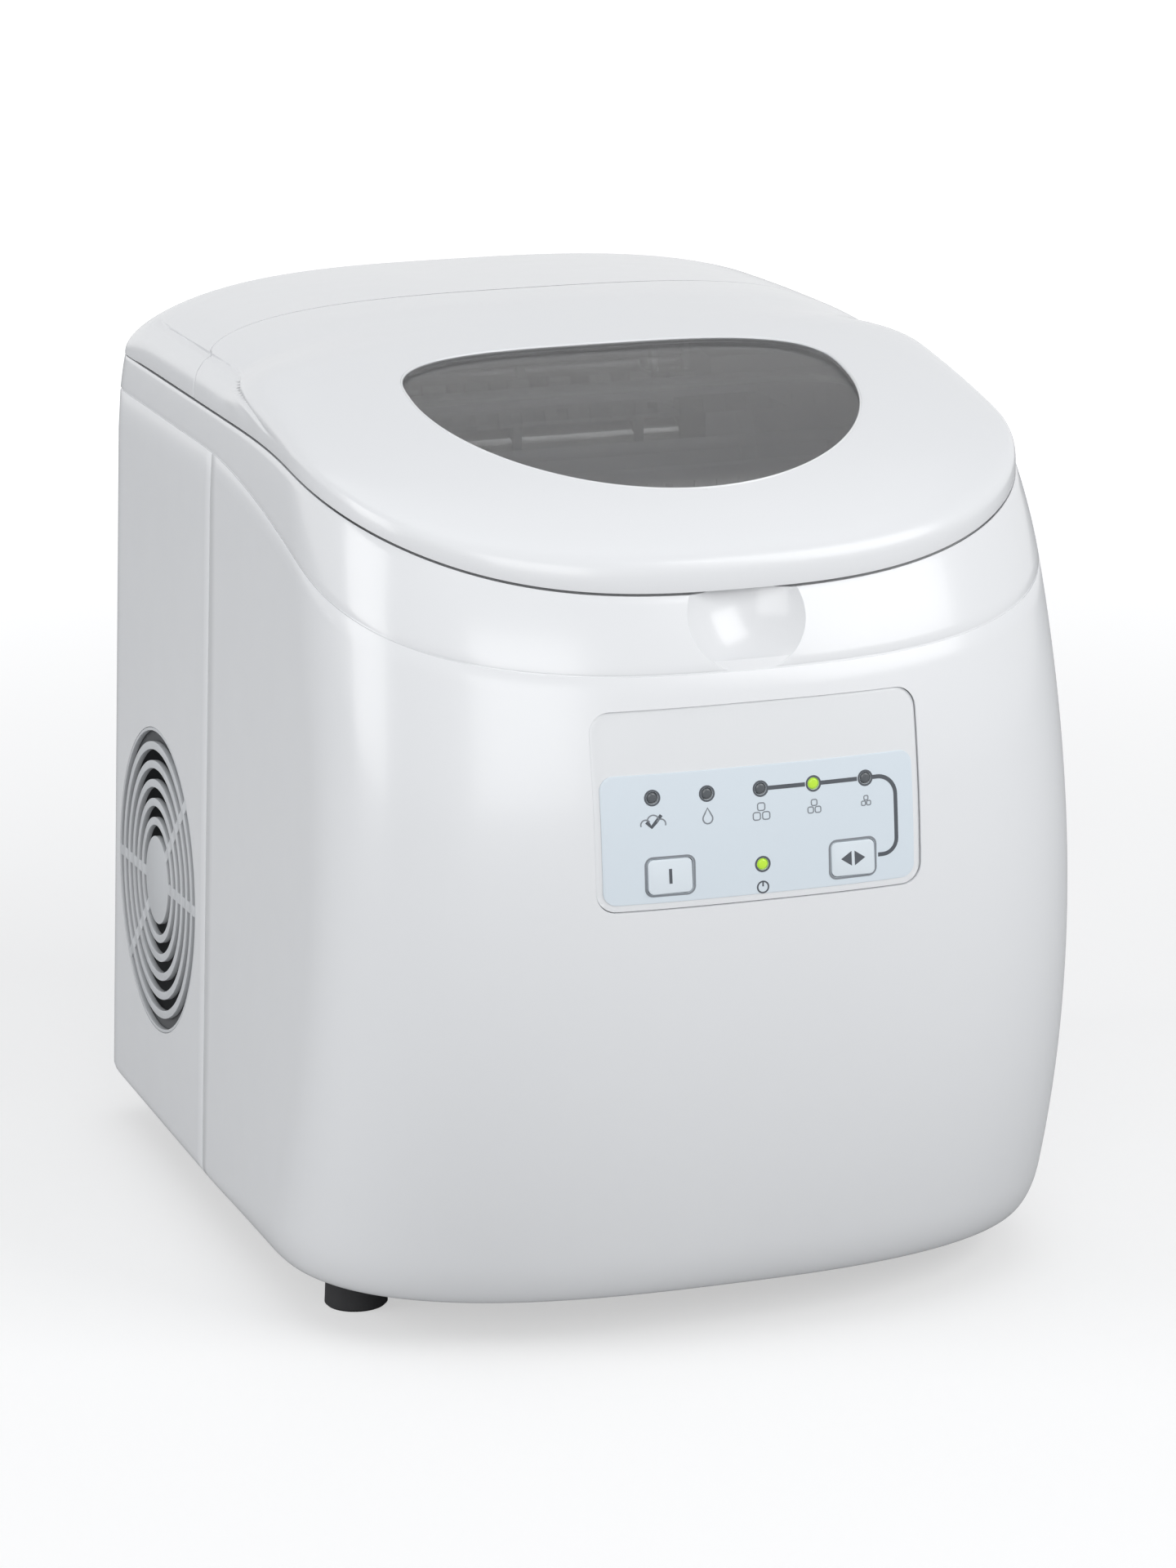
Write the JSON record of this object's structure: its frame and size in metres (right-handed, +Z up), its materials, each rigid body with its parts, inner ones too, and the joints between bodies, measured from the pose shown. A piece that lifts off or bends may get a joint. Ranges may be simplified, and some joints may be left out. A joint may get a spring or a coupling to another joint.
{
  "type": "ice maker",
  "caption": "Portable bullet ice maker for a worktop with a hinged windowed lid, front control panel, side fan grille and an ice bay with basket, tray and rake.",
  "frame": {"origin": "on the floor under the middle of the body's bounding box", "axes": "X to the right seen from the front, Y to the back, Z up"},
  "size_m": [0.3654, 0.4718, 0.4319],
  "materials": {
    "white_shell": "gloss",
    "smoked_window": "gloss",
    "bezel": "satin",
    "label": "satin",
    "keys": "satin",
    "light_green": "gloss",
    "light_dark": "gloss",
    "grille": "satin",
    "inner_plastic": "satin",
    "dark_plastic": "satin",
    "zinc_steel": "satin",
    "steel_pin": "brushed",
    "evaporator_metal": "gloss",
    "fin_aluminium": "satin",
    "black_can": "gloss",
    "black_rubber": "matte",
    "copper": "satin",
    "board": "satin",
    "silicone": "matte"
  },
  "bodies": {
    "chassis": {"base_pan": "zinc_steel", "rear_cabinet": "white_shell", "front_cover": "white_shell", "top_collar": "white_shell", "rear_top_cover": "white_shell", "hinge_bracket_left": "zinc_steel", "hinge_bracket_right": "zinc_steel", "hinge_pin_left": "steel_pin", "hinge_pin_right": "steel_pin", "control_bezel": "bezel", "control_label": "label", "indicator_light_1": "light_dark", "indicator_light_2": "light_dark", "indicator_light_3": "light_dark", "indicator_light_4": "light_green", "indicator_light_5": "light_dark", "indicator_light_6": "light_green", "control_board": "board", "side_grille": "grille", "fan_shroud": "inner_plastic", "fan_motor": "dark_plastic", "condenser": "fin_aluminium", "compressor": "black_can", "compressor_base": "zinc_steel", "compressor_mount_1": "black_rubber", "compressor_mount_2": "black_rubber", "compressor_mount_3": "black_rubber", "compressor_mount_4": "black_rubber", "discharge_pipe": "copper", "suction_pipe": "copper", "tank": "inner_plastic", "evaporator": "evaporator_metal", "evaporator_bracket": "zinc_steel", "tray_motor": "inner_plastic", "water_pump": "dark_plastic", "water_hose": "silicone", "ice_sensor": "dark_plastic", "foot_front_left": "black_rubber", "foot_front_right": "black_rubber", "foot_rear_left": "black_rubber", "foot_rear_right": "black_rubber", "cable_gland": "black_rubber"},
    "lid": {"lid_shell": "white_shell", "lid_window": "smoked_window"},
    "basket": {"ice_basket": "inner_plastic"},
    "tray": {"water_tray": "inner_plastic"},
    "rake": {"ice_rake": "inner_plastic"},
    "fan": {"fan_blade": "dark_plastic"},
    "power_key": {"power_button": "keys"},
    "select_key": {"select_button": "keys"},
    "drain": {"drain_plug": "black_rubber"}
  },
  "joints": [
    {"name": "lid_hinge", "type": "hinge", "parent": "chassis", "child": "lid", "pos_m": [0, 0.082, 0.4234], "axis": [-1, 0, 0], "range_deg": [0, 85]},
    {"name": "basket_lift", "type": "slide", "parent": "chassis", "child": "basket", "axis": [0, 0, 1], "range_m": [0, 0.028]},
    {"name": "tray_tilt", "type": "hinge", "parent": "chassis", "child": "tray", "pos_m": [0, 0.024, 0.345], "axis": [1, 0, 0], "range_deg": [0, 75]},
    {"name": "rake_swing", "type": "hinge", "parent": "chassis", "child": "rake", "pos_m": [0, -0.004, 0.369], "axis": [-1, 0, 0], "range_deg": [0, 55]},
    {"name": "fan_spin", "type": "hinge", "parent": "chassis", "child": "fan", "pos_m": [-0.17796, 0.135, 0.145], "axis": [-0.9992, 0, 0.041], "continuous": true},
    {"name": "power_press", "type": "slide", "parent": "chassis", "child": "power_key", "axis": [0, 0.9946, -0.1042], "range_m": [0, 0.0008], "stiffness_N_per_m": 600},
    {"name": "select_press", "type": "slide", "parent": "chassis", "child": "select_key", "axis": [0, 0.9946, -0.1042], "range_m": [0, 0.0008], "stiffness_N_per_m": 600},
    {"name": "drain_pull", "type": "slide", "parent": "chassis", "child": "drain", "axis": [0, 0, -1], "range_m": [0, 0.012]}
  ]
}
